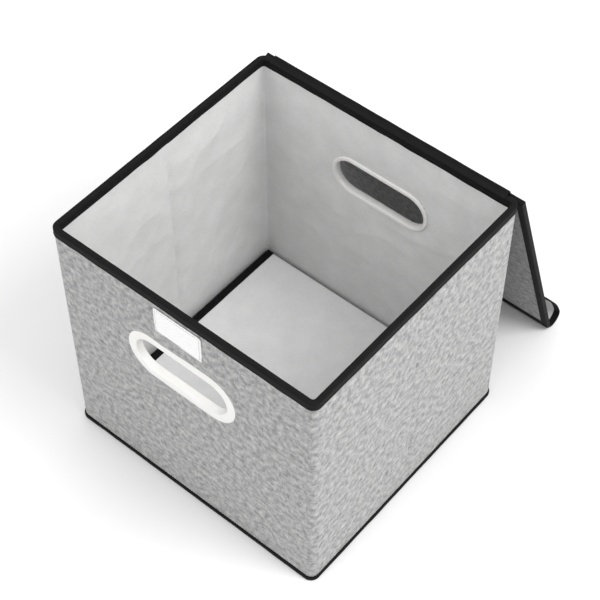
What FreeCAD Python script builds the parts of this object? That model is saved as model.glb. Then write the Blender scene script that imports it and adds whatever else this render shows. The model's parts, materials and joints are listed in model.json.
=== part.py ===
"""Foldable fabric storage bin with a hinged lid, a soft closing flap and a loose base board.

Millimetres, +Z up. The origin is the middle of the bin's underside, +X runs along the front
wall and the front wall faces -Y. The lid is modelled open: it hangs from the top of the back
wall and leans on the ground behind the bin.
"""

import FreeCAD, Part
import math
import os

import Sketcher
from FreeCAD import Placement, Rotation, Vector

# Driving dimensions, in millimetres and degrees.
DIMENSIONS = {
    "box_width": 330,  # outside, along the front wall
    "box_depth": 315,  # outside, front to back
    "box_height": 317,  # ground to the top of the rim binding
    "corner_radius": 9,  # outside radius of the upright edges
    "corner_return": 3,  # how far the front and back cloth runs on past the corner
    "cloth": 1,  # one layer of outer fabric or lining
    "board": 3,  # stiffening board
    "crease_gap": 2.4,  # between the two boards of a folding side wall
    "bottom_cloth": 1.2,
    "tape": 0.8,  # binding tape
    "rim_drop": 9,  # how far the rim binding reaches down the wall
    "piping_height": 5,
    "piping_depth": 1.6,
    "grip_centre": 218,  # height of the hand slots
    "grip_length": 118,
    "grip_height": 44,
    "grip_flange": 11,  # width of the grommet's outer flange
    "grip_ring": 4.5,  # width of the grommet's inner ring
    "flange_thickness": 2.2,
    "barrel_wall": 1.2,
    "barrel_clearance": 0.3,  # round the grommet, in the wall
    "ring_clearance": 0.1,  # between the grommet and its ring
    "patch_width": 60,
    "patch_height": 36,
    "patch_top_gap": 5,  # under the rim binding
    "patch_thickness": 1.2,
    "hinge_behind": 2.5,  # hinge line behind the back wall's outer face
    "lid_clearance": 0.4,  # closed lid above the rim
    "lid_start": 12,  # hinge line to the lid's board
    "lid_length": 331,  # hinge line to the crease of the flap
    "lid_tape_reach": 9,  # how far the lid's binding covers its faces
    "fold_radius": 11,  # middle of the cloth in the flap's fold
    "fold_angle": 184,
    "flap_length": 48,  # straight part, past the fold
    "flap_corner": 20,
    "flap_tape_reach": 7,
    "hook_width": 58,
    "hook_height": 26,
    "hook_start": 7,  # fold's end to the hook patch
    "base_gap": 3,  # round the base board: it passes inside the grommet rings
    "base_core": 8,
    "base_sleeve": 0.8,
    "base_tape": 0.6,
    "base_tape_reach": 10,
    "base_rest": 0.3,  # under the base board
    "hinge_reach": 7,  # hinge cloth along the top of the rim
    "hinge_width": 300,
}

doc = FreeCAD.newDocument("StorageBin")
sheet = doc.addObject("Spreadsheet::Sheet", "Sizes")
for row, (alias, number) in enumerate(DIMENSIONS.items(), start=1):
    sheet.set(f"A{row}", alias)
    sheet.set(f"B{row}", str(number))
    sheet.setAlias(f"B{row}", alias)
doc.recompute()


class Size:
    """A size worked out from the sheet: its value now, and the expression that binds it."""

    def __init__(self, value, text):
        self.value = value
        self.text = text

    @staticmethod
    def of(other):
        return other if isinstance(other, Size) else Size(other, repr(other))

    def join(self, sign, other, value):
        return Size(value, f"({self.text} {sign} {other.text})")

    def __add__(self, other):
        other = Size.of(other)
        return self.join("+", other, self.value + other.value)

    def __sub__(self, other):
        other = Size.of(other)
        return self.join("-", other, self.value - other.value)

    def __mul__(self, other):
        other = Size.of(other)
        return self.join("*", other, self.value * other.value)

    def __truediv__(self, other):
        other = Size.of(other)
        return self.join("/", other, self.value / other.value)

    def __neg__(self):
        return Size(-self.value, f"(-1 * {self.text})")


def cosine(angle):
    return Size(math.cos(math.radians(angle.value)), f"cos({angle.text})")


def sine(angle):
    return Size(math.sin(math.radians(angle.value)), f"sin({angle.text})")


ZERO = Size(0.0, "0")
S = {alias: Size(float(sheet.get(alias)), f"Sizes.{alias}") for alias in DIMENSIONS}

half_width = S["box_width"] / 2
half_depth = S["box_depth"] / 2
wall = S["cloth"] * 2 + S["board"]
wall_top = S["box_height"] - S["tape"]
board_half_width = half_width - S["corner_radius"]
side_half_depth = half_depth - S["corner_radius"] - S["corner_return"]
board_half_depth = half_depth - S["corner_radius"]
barrel_out = S["barrel_wall"] * 2
hole_length = S["grip_length"] + barrel_out + S["barrel_clearance"] * 2
hole_height = S["grip_height"] + barrel_out + S["barrel_clearance"] * 2

lid_half = wall / 2  # half the lid's thickness: it is the same sandwich as a wall
hinge_y = half_depth + S["hinge_behind"]
hinge_z = S["box_height"] + S["lid_clearance"] + S["tape"] + lid_half


def resting_lean():
    """The lid's angle from upright at which the flap's fold just touches the ground."""
    length, radius = S["lid_length"], S["fold_radius"]
    drop = hinge_z - radius - S["cloth"]
    reach = math.hypot(length.value, radius.value)
    value = math.degrees(math.acos(drop.value / reach) - math.atan2(radius.value, length.value))
    reach_text = f"sqrt({length.text} ^ 2 + {radius.text} ^ 2)"
    text = f"(acos({drop.text} / {reach_text}) - atan({radius.text} / {length.text}))"
    return Size(value, text)


lean = resting_lean()
lid_turn = Size(lean.value - 90, f"({lean.text} - 90 deg)")
fold = Size(S["fold_angle"].value, f"({S['fold_angle'].text} * 1 deg)")
flap_turn = lid_turn + fold
lid_place = (ZERO, hinge_y, hinge_z, lid_turn)
fold_end_along = S["lid_length"] + S["fold_radius"] * sine(fold)
fold_end_off = S["fold_radius"] - S["fold_radius"] * cosine(fold)
flap_place = (
    ZERO,
    hinge_y + fold_end_along * cosine(lid_turn) - fold_end_off * sine(lid_turn),
    hinge_z + fold_end_along * sine(lid_turn) + fold_end_off * cosine(lid_turn),
    flap_turn,
)

nodes = []


def bind(feature, **sizes):
    """Ties each named property of a feature to the sheet."""
    for name, size in sizes.items():
        feature.setExpression(name.replace("__", "."), Size.of(size).text)


def finish(feature, label, place=None, half_turn=False):
    """Names a sub-part, puts it in its place and adds it to the parts to write."""
    feature.Label = label
    if half_turn:
        feature.Placement = Placement(Vector(), Rotation(Vector(0, 0, 1), 180))
    if place:
        feature.Placement = Placement(Vector(), Rotation(Vector(1, 0, 0), place[3].value))
        for axis, size in zip("xyz", place[:3]):
            feature.setExpression(f"Placement.Base.{axis}", size.text)
        feature.setExpression("Placement.Rotation.Angle", place[3].text)
    nodes.append(feature)


def block(name, low, high):
    """A box between two corners given as sizes."""
    box = doc.addObject("Part::Box", name)
    low = [Size.of(v) for v in low]
    span = [Size.of(b) - a for a, b in zip(low, high)]
    bind(box, Length=span[0], Width=span[1], Height=span[2])
    bind(box, Placement__Base__x=low[0], Placement__Base__y=low[1], Placement__Base__z=low[2])
    return box


def cut(name, base, tool):
    """The base shape less the tool shape."""
    result = doc.addObject("Part::Cut", name)
    result.Base = base
    result.Tool = tool
    return result


def new_body(name):
    return doc.addObject("PartDesign::Body", name)


def new_sketch(body, name, role, offset=ZERO):
    """A sketch on one of the body's own origin planes, moved along the plane's normal."""
    sketch = body.newObject("Sketcher::SketchObject", name)
    plane = next(p for p in body.Origin.OriginFeatures if p.Role == role)
    sketch.AttachmentSupport = [(plane, "")]
    sketch.MapMode = "FlatFace"
    bind(sketch, AttachmentOffset__Base__z=offset)
    return sketch


def towards(start, end):
    """Unit step along an axis from one corner towards the next."""
    dx = end[0].value - start[0].value
    dy = end[1].value - start[1].value
    return (0, math.copysign(1, dy)) if abs(dy) > abs(dx) else (math.copysign(1, dx), 0)


START, END, CENTRE = 1, 2, 3  # points of a sketch edge


def hold(sketch, kind, edge, end, size, tag):
    """Holds a point of an edge at one distance, X or Y, from the sketch's origin."""
    index = sketch.addConstraint(Sketcher.Constraint(kind, -1, 1, edge, end, size.value))
    sketch.renameConstraint(index, f"{tag}_{kind}")
    sketch.setExpression(f"Constraints.{tag}_{kind}", size.text)


def fix(sketch, edge, end, point, tag):
    """Holds one end of an edge at a point given as two sizes."""
    hold(sketch, "DistanceX", edge, end, point[0], tag)
    hold(sketch, "DistanceY", edge, end, point[1], tag)


def outline(sketch, corners, tag="edge"):
    """A closed outline of square corners (x, y) and round ones (x, y, radius)."""
    count = len(corners)
    corners = [tuple(Size.of(v) for v in corner) for corner in corners]
    stops = []
    for i, corner in enumerate(corners):
        if len(corner) == 2:
            stops.append((corner, corner))
            continue
        back = towards(corner, corners[i - 1])
        ahead = towards(corner, corners[(i + 1) % count])
        entry = tuple(corner[k] + corner[2] * back[k] for k in (0, 1))
        leave = tuple(corner[k] + corner[2] * ahead[k] for k in (0, 1))
        stops.append((entry, leave))
    for i, corner in enumerate(corners):
        entry, leave = stops[i]
        if len(corner) == 3:
            sketch_arc(sketch, corner, entry, leave, f"{tag}{i}_arc")
        following = stops[(i + 1) % count][0]
        line = Part.LineSegment(flat(leave), flat(following))
        edge = sketch.addGeometry(line, False)
        fix(sketch, edge, START, leave, f"{tag}{i}_from")
        fix(sketch, edge, END, following, f"{tag}{i}_to")


def flat(point):
    return Vector(point[0].value, point[1].value, 0)


def sketch_arc(sketch, corner, entry, leave, tag):
    """A quarter round between two tangent points of a square corner."""
    radius = corner[2].value
    centre = flat(entry) + flat(leave) - flat(corner)
    middle = centre + (flat(corner) - centre).normalize() * radius
    edge = sketch.addGeometry(Part.Arc(flat(entry), middle, flat(leave)), False)
    turned = (flat(entry) - centre).cross(flat(leave) - centre).z < 0
    fix(sketch, edge, END if turned else START, entry, f"{tag}_entry")
    fix(sketch, edge, START if turned else END, leave, f"{tag}_leave")
    index = sketch.addConstraint(Sketcher.Constraint("Radius", edge, radius))
    sketch.renameConstraint(index, f"{tag}_radius")
    sketch.setExpression(f"Constraints.{tag}_radius", corner[2].text)


def rounded(half_x, half_y, radius, centre_y=ZERO):
    """Corners of a rounded rectangle about (0, centre_y)."""
    low = Size.of(centre_y) - half_y
    high = Size.of(centre_y) + half_y
    return [
        (-half_x, low, radius),
        (half_x, low, radius),
        (half_x, high, radius),
        (-half_x, high, radius),
    ]


def rectangle(low_x, low_y, high_x, high_y):
    return [(low_x, low_y), (high_x, low_y), (high_x, high_y), (low_x, high_y)]


def stadium(sketch, length, height, centre, tag):
    """A slot outline with half-round ends, centred at (0, centre)."""
    radius = height / 2
    straight = (length - height) / 2
    for side, name in ((-1, "low"), (1, "high")):
        level = centre + radius * side
        start = flat((-straight, level))
        end = flat((straight, level))
        edge = sketch.addGeometry(Part.LineSegment(start, end), False)
        fix(sketch, edge, START, (-straight, level), f"{tag}_{name}_from")
        fix(sketch, edge, END, (straight, level), f"{tag}_{name}_to")
    for side, name in ((-1, "left"), (1, "right")):
        middle = straight * side
        low = (middle, centre - radius)
        high = (middle, centre + radius)
        tip = (middle + radius * side, centre)
        first, second = (low, high) if side > 0 else (high, low)
        edge = sketch.addGeometry(Part.Arc(flat(first), flat(tip), flat(second)), False)
        fix(sketch, edge, START, first, f"{tag}_{name}_from")
        fix(sketch, edge, END, second, f"{tag}_{name}_to")
        hold(sketch, "DistanceX", edge, CENTRE, middle, f"{tag}_{name}_centre")


def pad(body, sketch, length):
    feature = body.newObject("PartDesign::Pad", sketch.Name + "_pad")
    feature.Profile = sketch
    bind(feature, Length=length)
    return feature


def plate(name, role, offset, thickness, draw):
    """A body padded from one sketch; draw adds the outlines to the sketch."""
    body = new_body(name)
    sketch = new_sketch(body, name + "_outline", role, offset)
    draw(sketch)
    pad(body, sketch, thickness)
    return body


def add_layer(body, name, role, offset, thickness, draw):
    """One more padded outline on a body."""
    sketch = new_sketch(body, name, role, offset)
    draw(sketch)
    return pad(body, sketch, thickness)


def front_and_back(make):
    """Makes a piece for the front wall and, half a turn round, for the back wall."""
    for side, turned in (("front", False), ("back", True)):
        body, label = make(side)
        finish(body, label, half_turn=turned)


# Walls: outer fabric, stiffening boards and lining.
def end_outer_fabric(side):
    """Front or back cloth: it wraps both upright edges, and the grip slot is cut in it."""
    name = f"{side}_outer_fabric"
    radius = S["corner_radius"]
    inner_x = half_width - S["cloth"]
    inner_y = -(half_depth - S["cloth"])
    arm_end = -(half_depth - radius - S["corner_return"])
    corners = [
        (-half_width, arm_end),
        (-half_width, -half_depth, radius),
        (half_width, -half_depth, radius),
        (half_width, arm_end),
        (inner_x, arm_end),
        (inner_x, inner_y, radius - S["cloth"]),
        (-inner_x, inner_y, radius - S["cloth"]),
        (-inner_x, arm_end),
    ]
    body = plate(name, "XY_Plane", ZERO, wall_top, lambda sketch: outline(sketch, corners))
    slot = new_sketch(body, name + "_slot", "XZ_Plane")
    stadium(slot, hole_length, hole_height, S["grip_centre"], "slot")
    doc.recompute()
    solid_volume = body.Shape.Volume
    opening = body.newObject("PartDesign::Pocket", name + "_opening")
    opening.Profile = slot
    opening.SideType = "Symmetric"
    bind(opening, Length=S["box_depth"] * 2)
    doc.recompute()
    if body.Shape.Volume > solid_volume - hole_height.value * S["cloth"].value:
        raise RuntimeError(f"{name}: the grip slot cut nothing")
    return body, name


def slotted_panel(name, half_x, outside, thickness):
    """A flat front wall layer with the grip slot through it; outside is its outer face's depth."""
    bottom = S["bottom_cloth"]

    def draw(sketch):
        outline(sketch, rectangle(-half_x, bottom, half_x, wall_top))
        stadium(sketch, hole_length, hole_height, S["grip_centre"], "slot")

    return plate(name, "XZ_Plane", outside - thickness, thickness, draw)


def end_board(side):
    name = f"{side}_board"
    return slotted_panel(name, board_half_width, half_depth - S["cloth"], S["board"]), name


def end_lining(side):
    name = f"{side}_lining"
    inside = half_depth - wall
    return slotted_panel(name, half_width - wall, inside + S["cloth"], S["cloth"]), name


front_and_back(end_outer_fabric)
front_and_back(end_board)
front_and_back(end_lining)

board_outer = half_width - S["cloth"]
board_inner = board_outer - S["board"]
lining_inner = half_width - wall
lining_half_depth = half_depth - wall + S["cloth"]


def across(side, inner, outer):
    """Low and high X of a layer between two distances from the middle, on one side."""
    return (inner, outer) if side == "right" else (-outer, -inner)


def side_layer(side, label, inner, outer, ends, bottom):
    """A flat layer of a side wall; ends are its front and rear Y."""
    low, high = across(side, inner, outer)
    layer = block(label, (low, ends[0], bottom), (high, ends[1], wall_top))
    finish(layer, label)


for side in ("right", "left"):
    cloth_ends = (-side_half_depth, side_half_depth)
    side_layer(side, f"{side}_outer_fabric", board_outer, half_width, cloth_ends, ZERO)
    lining_ends = (-lining_half_depth, lining_half_depth)
    bottom = S["bottom_cloth"]
    side_layer(side, f"{side}_lining", lining_inner, board_inner, lining_ends, bottom)
    half_gap = S["crease_gap"] / 2
    for end, ends in (
        ("front", (-board_half_depth, -half_gap)),
        ("rear", (half_gap, board_half_depth)),
    ):
        side_layer(side, f"{side}_board_{end}", board_inner, board_outer, ends, bottom)


# Bottom, piping and rim binding.
def bottom_outline(sketch):
    inner_radius = S["corner_radius"] - S["cloth"]
    outline(sketch, rounded(half_width - S["cloth"], half_depth - S["cloth"], inner_radius))


finish(plate("bottom_cloth", "XY_Plane", ZERO, S["bottom_cloth"], bottom_outline), "bottom_cloth")


def ring(outer, inner):
    """Draws a band between two rounded rectangles given as (half x, half y, radius)."""

    def draw(sketch):
        outline(sketch, rounded(*outer), "outer")
        if len(inner) == 3:
            outline(sketch, rounded(*inner), "inner")
        else:
            outline(sketch, rectangle(-inner[0], -inner[1], inner[0], inner[1]), "inner")

    return draw


wall_face = (half_width, half_depth, S["corner_radius"])
piping = S["piping_depth"]
piping_face = (half_width + piping, half_depth + piping, S["corner_radius"] + piping)
piping_body = plate(
    "bottom_piping", "XY_Plane", ZERO, S["piping_height"], ring(piping_face, wall_face)
)
finish(piping_body, "bottom_piping")

tape = S["tape"]
tape_face = (half_width + tape, half_depth + tape, S["corner_radius"] + tape)
inner_face = (half_width - wall, half_depth - wall)
inner_tape_face = (half_width - wall - tape, half_depth - wall - tape)
skirt_bottom = wall_top - S["rim_drop"]
rim = plate("rim_binding", "XY_Plane", wall_top, tape, ring(tape_face, inner_tape_face))
add_layer(rim, "rim_outer", "XY_Plane", skirt_bottom, S["rim_drop"], ring(tape_face, wall_face))


def inner_skirt(sketch):
    outline(sketch, rectangle(-inner_face[0], -inner_face[1], *inner_face), "outer")
    far_x, far_y = inner_tape_face
    outline(sketch, rectangle(-far_x, -far_y, far_x, far_y), "inner")


add_layer(rim, "rim_inner", "XY_Plane", skirt_bottom, S["rim_drop"], inner_skirt)
finish(rim, "rim_binding")


# Hand-slot grommets: an outer half with a barrel, and a ring that snaps on inside.
def stadium_ring(outer_extra, inner_extra):
    """Draws a slot-shaped band, each edge given as its distance outside the clear opening."""

    def draw(sketch):
        for tag, extra in (("outer", outer_extra), ("inner", inner_extra)):
            length = S["grip_length"] + Size.of(extra) * 2
            height = S["grip_height"] + Size.of(extra) * 2
            stadium(sketch, length, height, S["grip_centre"], tag)

    return draw


def grommet(side):
    name = f"{side}_grommet"
    flange = stadium_ring(S["grip_flange"], ZERO)
    body = plate(name, "XZ_Plane", half_depth, S["flange_thickness"], flange)
    barrel_end = half_depth - wall - S["flange_thickness"]
    barrel_length = wall + S["flange_thickness"]
    barrel = stadium_ring(S["barrel_wall"], ZERO)
    add_layer(body, name + "_barrel", "XZ_Plane", barrel_end, barrel_length, barrel)
    return body, name


def grommet_ring(side):
    name = f"{side}_grommet_ring"
    loose = S["barrel_wall"] + S["ring_clearance"]
    draw = stadium_ring(S["grip_ring"], loose)
    start = half_depth - wall - S["flange_thickness"]
    return plate(name, "XZ_Plane", start, S["flange_thickness"], draw), name


front_and_back(grommet)
front_and_back(grommet_ring)

patch_top = skirt_bottom - S["patch_top_gap"]
loop_patch = block(
    "closure_loop_patch",
    (-(S["patch_width"] / 2), -(half_depth + S["patch_thickness"]), patch_top - S["patch_height"]),
    (S["patch_width"] / 2, -half_depth, patch_top),
)
finish(loop_patch, "closure_loop_patch")


# Lid, in its own frame: the hinge line is X, +Y runs to the free edge, +Z is the lining side.
def hinge_cloth():
    """The cloth hinge: along the rim's top, up to the hinge line and on to the lid's edge."""
    half_cloth = S["cloth"] / 2
    rim_top = S["box_height"]
    along = S["lid_start"]
    foot_y = hinge_y + along * cosine(lid_turn)
    foot_z = hinge_z + along * sine(lid_turn)
    across_y = half_cloth * sine(lid_turn)
    across_z = half_cloth * cosine(lid_turn)
    corners = [
        (half_depth - S["hinge_reach"], rim_top),
        (half_depth + tape, rim_top),
        (hinge_y + half_cloth, hinge_z - S["cloth"]),
        (foot_y + across_y, foot_z - across_z),
        (foot_y - across_y, foot_z + across_z),
        (hinge_y + S["cloth"], hinge_z + half_cloth),
        (hinge_y - half_cloth, hinge_z + half_cloth),
        (half_depth, rim_top + S["cloth"]),
        (half_depth - S["hinge_reach"], rim_top + S["cloth"]),
    ]
    body = plate(
        "lid_hinge_cloth",
        "YZ_Plane",
        -(S["hinge_width"] / 2),
        S["hinge_width"],
        lambda sketch: outline(sketch, corners),
    )
    finish(body, "lid_hinge_cloth")


def slab(label, place, low, high):
    """A padded slab between two corners, given in the frame of its own place."""
    low = [Size.of(v) for v in low]

    def draw(sketch):
        outline(sketch, rectangle(low[0], low[1], high[0], high[1]))

    finish(plate(label, "XY_Plane", low[2], high[2] - low[2], draw), label, place)


def lid_layer(label, low, high):
    """A flat layer of the lid between two heights in its thickness."""
    start = S["lid_start"]
    slab(label, lid_place, (-half_width, start, low), (half_width, S["lid_length"], high))


hinge_cloth()
half_board = S["board"] / 2
lid_layer("lid_outer_fabric", -lid_half, -half_board)
lid_layer("lid_board", -half_board, half_board)
lid_layer("lid_lining", half_board, lid_half)


def edge_tape(label, place, side, edge, half, thickness, reach, ends):
    """Binding folded round one straight side edge, at distance edge from the middle."""
    low_x, high_x = across(side, edge - reach, edge + thickness)
    outside = half + thickness
    folded = block(label + "_fold", (low_x, ends[0], -outside), (high_x, ends[1], outside))
    low_x, high_x = across(side, edge - reach * 2, edge)
    core = block(label + "_core", (low_x, ends[0], -half), (high_x, ends[1], half))
    finish(cut(label, folded, core), label, place)


for side in ("left", "right"):
    edge_tape(
        f"lid_binding_{side}",
        lid_place,
        side,
        half_width,
        lid_half,
        tape,
        S["lid_tape_reach"],
        (S["lid_start"], S["lid_length"]),
    )


def fold_cylinder(name, radius):
    """A sector of a cylinder that sweeps the flap's fold from the lid's crease."""
    cylinder = doc.addObject("Part::Cylinder", name)
    cylinder.Placement = Placement(Vector(), Rotation(Vector(0, 1, 0), 90))
    bind(cylinder, Radius=radius, Height=S["box_width"], Angle=S["fold_angle"])
    bind(cylinder, Placement__Base__x=-half_width, Placement__Base__y=S["lid_length"])
    bind(cylinder, Placement__Base__z=S["fold_radius"])
    return cylinder


crease = cut(
    "flap_crease",
    fold_cylinder("fold_outside", S["fold_radius"] + S["cloth"]),
    fold_cylinder("fold_inside", S["fold_radius"] - S["cloth"]),
)
finish(crease, "flap_crease_cloth", lid_place)


# Flap: a straight, boardless piece with round free corners, past the fold.
def flap_corners(inset, radius):
    """The flap's outline, moved in by inset on its two sides and its free edge."""
    side = half_width - inset
    end = S["flap_length"] - inset
    return [(-side, ZERO), (-side, end, radius), (side, end, radius), (side, ZERO)]


def flap_band(outer_inset, outer_radius, inner_inset, inner_radius):
    """The outline of a band round the flap's sides and free edge."""
    outer = flap_corners(outer_inset, outer_radius)
    inner = flap_corners(inner_inset, inner_radius)
    return lambda sketch: outline(sketch, outer + inner[::-1])


def flap_layer(label, low):
    draw = flap_corners(ZERO, S["flap_corner"])
    body = plate(label, "XY_Plane", low, S["cloth"], lambda sketch: outline(sketch, draw))
    finish(body, label, flap_place)


flap_layer("flap_outer_fabric", -S["cloth"])
flap_layer("flap_lining", ZERO)

reach = S["flap_tape_reach"]
round_corner = S["flap_corner"]
face_band = flap_band(-tape, round_corner + tape, reach, round_corner - reach)
edge_band = flap_band(-tape, round_corner + tape, ZERO, round_corner)
binding = plate("flap_binding", "XY_Plane", S["cloth"], tape, face_band)
add_layer(binding, "flap_binding_edge", "XY_Plane", -S["cloth"], S["cloth"] * 2, edge_band)
add_layer(binding, "flap_binding_under", "XY_Plane", -(S["cloth"] + tape), tape, face_band)
finish(binding, "flap_binding", flap_place)

slab(
    "closure_hook_patch",
    flap_place,
    (-(S["hook_width"] / 2), S["hook_start"], S["cloth"]),
    (S["hook_width"] / 2, S["hook_start"] + S["hook_height"], S["cloth"] + S["patch_thickness"]),
)


# Base board, in its own frame: the middle of its thickness is Z = 0.
base_half_width = half_width - wall - S["base_gap"]
base_half_depth = half_depth - wall - S["base_gap"]
core_half = S["base_core"] / 2
sleeve_half = core_half + S["base_sleeve"]
base_level = S["bottom_cloth"] + S["base_rest"] + S["base_tape"] + sleeve_half
base_place = (ZERO, ZERO, base_level, ZERO)


def base_corners(inset, half_thickness):
    """Low and high corner of a slab as large as the base board, less inset all round."""
    x, y = base_half_width - inset, base_half_depth - inset
    return (-x, -y, -half_thickness), (x, y, half_thickness)


core_corners = base_corners(S["base_sleeve"], core_half)
slab("base_board_core", base_place, *core_corners)
sleeve = cut(
    "sleeve",
    block("sleeve_outside", *base_corners(ZERO, sleeve_half)),
    block("sleeve_inside", *core_corners),
)
finish(sleeve, "base_board_sleeve", base_place)
for side in ("left", "right"):
    edge_tape(
        f"base_binding_{side}",
        base_place,
        side,
        base_half_width,
        sleeve_half,
        S["base_tape"],
        S["base_tape_reach"],
        (-base_half_depth, base_half_depth),
    )

doc.recompute()
for feature in doc.Objects:
    if {"Invalid", "Error"} & set(feature.State):
        raise RuntimeError(f"{feature.Label} failed: {feature.State}")
os.makedirs("parts", exist_ok=True)
for node in nodes:
    if node.Shape.isNull() or not node.Shape.isValid():
        raise RuntimeError(f"{node.Label} has no valid shape")
    node.Shape.exportStep(f"parts/{node.Label}.step")
print(f"{len(nodes)} parts written")
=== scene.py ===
"""Looks of the foldable fabric storage bin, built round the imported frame, in metres."""

import json
import math

import bpy
import numpy as np
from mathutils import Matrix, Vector


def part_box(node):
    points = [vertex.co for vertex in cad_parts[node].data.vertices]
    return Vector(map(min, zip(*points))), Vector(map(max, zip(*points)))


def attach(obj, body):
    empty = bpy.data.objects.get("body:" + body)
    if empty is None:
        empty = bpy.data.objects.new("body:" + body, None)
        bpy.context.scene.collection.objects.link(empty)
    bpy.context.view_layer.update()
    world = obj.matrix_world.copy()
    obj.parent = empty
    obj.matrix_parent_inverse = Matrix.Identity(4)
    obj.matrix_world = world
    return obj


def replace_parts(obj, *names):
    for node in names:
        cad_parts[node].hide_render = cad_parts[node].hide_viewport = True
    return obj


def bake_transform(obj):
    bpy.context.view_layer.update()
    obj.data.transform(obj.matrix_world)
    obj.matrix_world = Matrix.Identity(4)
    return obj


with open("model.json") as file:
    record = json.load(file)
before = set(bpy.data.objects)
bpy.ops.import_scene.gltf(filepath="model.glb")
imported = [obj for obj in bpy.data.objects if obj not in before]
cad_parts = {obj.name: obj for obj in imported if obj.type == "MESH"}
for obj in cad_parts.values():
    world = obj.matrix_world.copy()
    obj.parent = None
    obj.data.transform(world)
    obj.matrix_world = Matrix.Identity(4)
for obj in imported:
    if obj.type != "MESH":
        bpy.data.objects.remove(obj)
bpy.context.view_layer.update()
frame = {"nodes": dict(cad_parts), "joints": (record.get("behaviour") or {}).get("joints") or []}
MM = 0.001


# Camera ----
def add_camera():
    azimuth, elevation = math.radians(39.8), math.radians(51.5)
    flat = math.cos(elevation)
    back = Vector((math.sin(azimuth) * flat, -math.cos(azimuth) * flat, math.sin(elevation)))
    right = Vector((math.cos(azimuth), math.sin(azimuth), 0))
    up = back.cross(right)
    data = bpy.data.cameras.new("camera")
    data.lens = 98.34
    camera = bpy.data.objects.new("camera", data)
    camera.location = back * 1.8315 + right * 0.0132 + up * 0.1145
    camera.rotation_euler = (-back).to_track_quat("-Z", "Y").to_euler()
    bpy.context.scene.collection.objects.link(camera)
    bpy.context.scene.camera = camera


add_camera()


# Sizes, from the frame ----
shell_low, shell_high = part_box("front_outer_fabric")
rim_low, rim_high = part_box("rim_binding")
piping_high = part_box("bottom_piping")[1]
HALF_X = shell_high.x
HALF_Y = -shell_low.y
CORNER = 9 * MM
CLOTH = 1 * MM
WALL = 5 * MM
WALL_TOP = shell_high.z
joints = {joint["name"]: joint for joint in frame["joints"]}
hinge = np.array(joints["lid_hinge"]["pos_m"])
LID_TURN = math.pi - math.radians(joints["lid_hinge"]["range_deg"][1])
LID_START = 12 * MM
LID_LENGTH = 331 * MM
FOLD_RADIUS = 11 * MM
FOLD_ANGLE = math.radians(184)
FOLD_CLOTH = FOLD_RADIUS * FOLD_ANGLE
FLAP_LENGTH = 48 * MM
FLAP_END = FOLD_CLOTH + FLAP_LENGTH
FLAP_CORNER = 20 * MM
FOLD_CURL = math.radians(22)  # the flap's free end curls towards the lid
SQUEEZED = 0.34  # share of the cloth's thickness left under the flap's edge tape
BOARD_HALF = 1.5 * MM
LID_FACE = BOARD_HALF + CLOTH


def row_of_lid(x, y, z):
    """Row coordinates of points in the lid's frame: Y to the free edge, Z on the lining side."""
    x, y, z = np.broadcast_arrays(x, y, z)
    cos, sin = math.cos(LID_TURN), math.sin(LID_TURN)
    return np.stack([hinge[0] + x, hinge[1] + y * cos - z * sin, hinge[2] + y * sin + z * cos], -1)


# Smooth seeded noise ----
LATTICE = 64


def noise(u, v, cell, seed):
    """Smooth noise from -1 to 1 with bumps about one cell wide."""
    lattice = np.random.default_rng(seed).uniform(-1, 1, (LATTICE, LATTICE))
    x, y = np.broadcast_arrays(u / cell, v / cell)
    i, j = np.floor(x).astype(int), np.floor(y).astype(int)
    fx, fy = x - i, y - j
    fx, fy = fx * fx * (3 - 2 * fx), fy * fy * (3 - 2 * fy)

    def at(di, dj):
        return lattice[(i + di) % LATTICE, (j + dj) % LATTICE]

    low = at(0, 0) * (1 - fx) + at(1, 0) * fx
    high = at(0, 1) * (1 - fx) + at(1, 1) * fx
    return low * (1 - fy) + high * fy


def smooth(t):
    t = np.clip(t, 0, 1)
    return t * t * (3 - 2 * t)


def ridge(t, width):
    """A soft ridge, 1 at t = 0, about width across."""
    return np.exp(-((t / width) ** 2) * 4)


# Meshes ----
SHARP = math.radians(42)


def piece(name, points, faces, uvs, material, sharp=SHARP):
    """A mesh object; faces lists point indices and uvs has one pair for each face corner."""
    used = np.unique(np.concatenate([np.asarray(face).ravel() for face in faces]))
    place = np.zeros(len(points), int)
    place[used] = np.arange(len(used))
    mesh = bpy.data.meshes.new(name)
    mesh.from_pydata(points[used].tolist(), [], [[int(place[k]) for k in face] for face in faces])
    layer = mesh.uv_layers.new(name="weave")
    layer.data.foreach_set("uv", np.asarray(uvs, np.float32).ravel())
    mesh.shade_smooth()
    mesh.set_sharp_from_angle(angle=sharp)
    mesh.materials.append(material)
    made = bpy.data.objects.new(name, mesh)
    bpy.context.scene.collection.objects.link(made)
    return made


def quads(columns, rows, closed_columns=False, closed_rows=False):
    """Column and row steps of the corners of every quad in a grid."""
    across = np.arange(columns if closed_columns else columns - 1)
    along = np.arange(rows if closed_rows else rows - 1)
    i, j = (a.ravel() for a in np.meshgrid(across, along, indexing="ij"))
    return np.stack([i, i + 1, i + 1, i], 1), np.stack([j, j, j + 1, j + 1], 1)


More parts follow.
